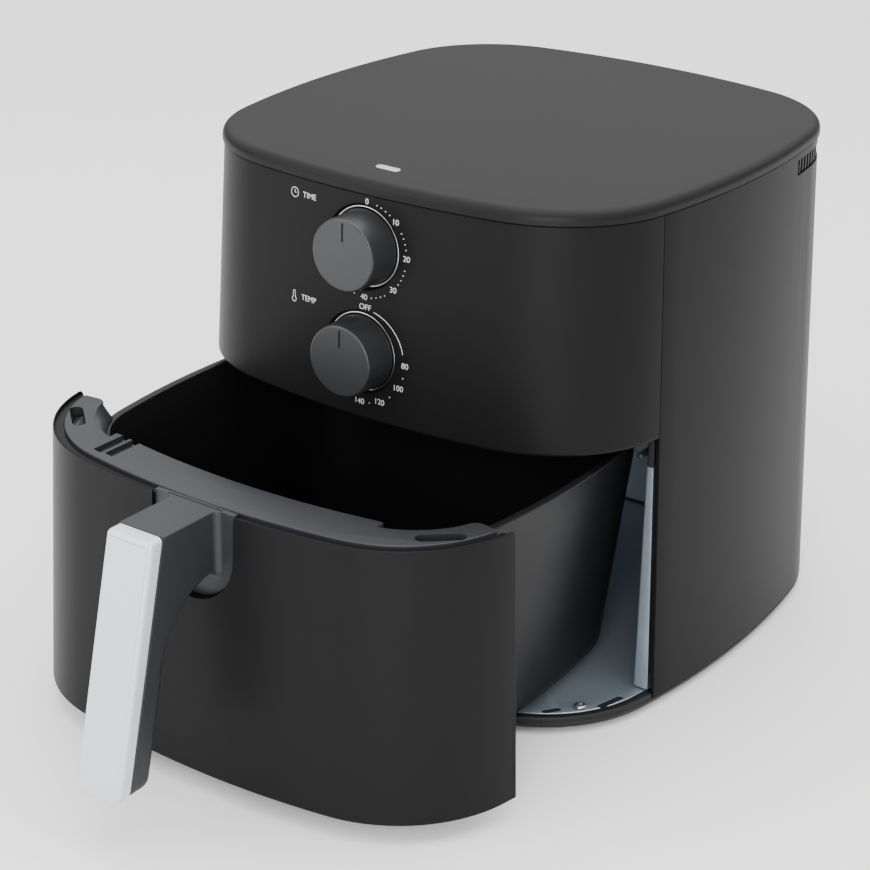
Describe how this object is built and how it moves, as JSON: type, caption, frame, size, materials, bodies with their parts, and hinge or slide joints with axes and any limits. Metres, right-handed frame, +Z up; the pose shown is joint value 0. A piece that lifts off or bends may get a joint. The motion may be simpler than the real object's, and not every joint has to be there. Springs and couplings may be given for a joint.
{
  "type": "air fryer",
  "caption": "Drawer air fryer with a flared rounded-square housing, two dials, a fan heater and a deep pot that slides out on a curved drawer front with an upright handle.",
  "frame": {"origin": "middle of the whole footprint on the table, with the drawer out by its rest amount", "axes": "+Z up, -Y the way the drawer opens, +X to the right seen from the front"},
  "size_m": [0.2994, 0.5067, 0.2857],
  "materials": {
    "body": "satin black, very fine grain",
    "lid": "matt black, very fine grain",
    "base": "matt dark grey",
    "trim": "satin dark grey",
    "knob": "satin dark grey",
    "silver": "light silver-grey satin paint",
    "badge": "bright satin",
    "galvanised": "galvanised sheet, faint spangle",
    "steel": "plain steel",
    "element": "dark oxidised heater sheath",
    "nonstick": "dark non-stick coating",
    "nylon": "off-white moulded nylon",
    "rubber": "matt"
  },
  "bodies": {
    "housing": {"base_pan": "base", "base_screw_back_left": "steel", "base_screw_back_right": "steel", "base_screw_front_left": "steel", "base_screw_front_right": "steel", "bay_ceiling": "galvanised", "bay_frame": "trim", "bay_liner": "galvanised", "control_bracket": "galvanised", "cord_gland": "trim", "element_guard": "steel", "fan_motor": "steel", "floor_plate": "galvanised", "floor_screw_left": "steel", "floor_screw_right": "steel", "foot_back_left": "rubber", "foot_back_right": "rubber", "foot_front_left": "rubber", "foot_front_right": "rubber", "front_panel": "body", "heat_shield": "galvanised", "heater_dome": "steel", "heating_coil": "element", "housing_shell": "body", "interlock_switch": "nylon", "lid": "lid", "lid_badge": "badge", "motor_bracket": "galvanised", "outlet_duct": "galvanised", "rear_grille": "trim", "temperature_knob_ring": "badge", "terminal_block": "nylon", "thermal_cutout": "nylon", "thermostat_unit": "nylon", "time_knob_ring": "badge", "timer_bell": "steel", "timer_unit": "nylon"},
    "drawer": {"drawer_front": "body", "drawer_liner": "trim", "drawer_trim": "trim", "pot": "nonstick", "crisper_tray": "nonstick", "tray_foot_front_left": "rubber", "tray_foot_front_right": "rubber", "tray_foot_back_left": "rubber", "tray_foot_back_right": "rubber", "handle_arm": "trim", "grip_cover": "silver", "handle_screw_left": "steel", "handle_screw_right": "steel"},
    "time_dial": {"time_knob": "knob", "timer_shaft": "steel"},
    "temperature_dial": {"temperature_knob": "knob", "thermostat_shaft": "steel"},
    "fan_rotor": {"fan_shaft": "steel", "fan_nut": "steel", "hot_air_fan": "steel", "cooling_fan": "trim"},
    "interlock_peg": {"switch_peg": "trim"}
  },
  "joints": [
    {"name": "drawer_slide", "type": "slide", "parent": "housing", "child": "drawer", "axis": [0, -1, 0], "range_m": [-0.13, 0.09]},
    {"name": "time_knob_turn", "type": "hinge", "parent": "housing", "child": "time_dial", "pos_m": [0, 0, 0.2475], "axis": [0, 1, 0], "range_deg": [0, 280]},
    {"name": "temperature_knob_turn", "type": "hinge", "parent": "housing", "child": "temperature_dial", "pos_m": [0, 0, 0.1915], "axis": [0, 1, 0], "range_deg": [0, 270]},
    {"name": "fan_spin", "type": "hinge", "parent": "housing", "child": "fan_rotor", "pos_m": [0, 0.0985, 0.19], "axis": [0, 0, 1], "continuous": true},
    {"name": "peg_press", "type": "slide", "parent": "housing", "child": "interlock_peg", "axis": [0, 1, 0], "range_m": [0, 0.002], "stiffness_N_per_m": 400}
  ]
}
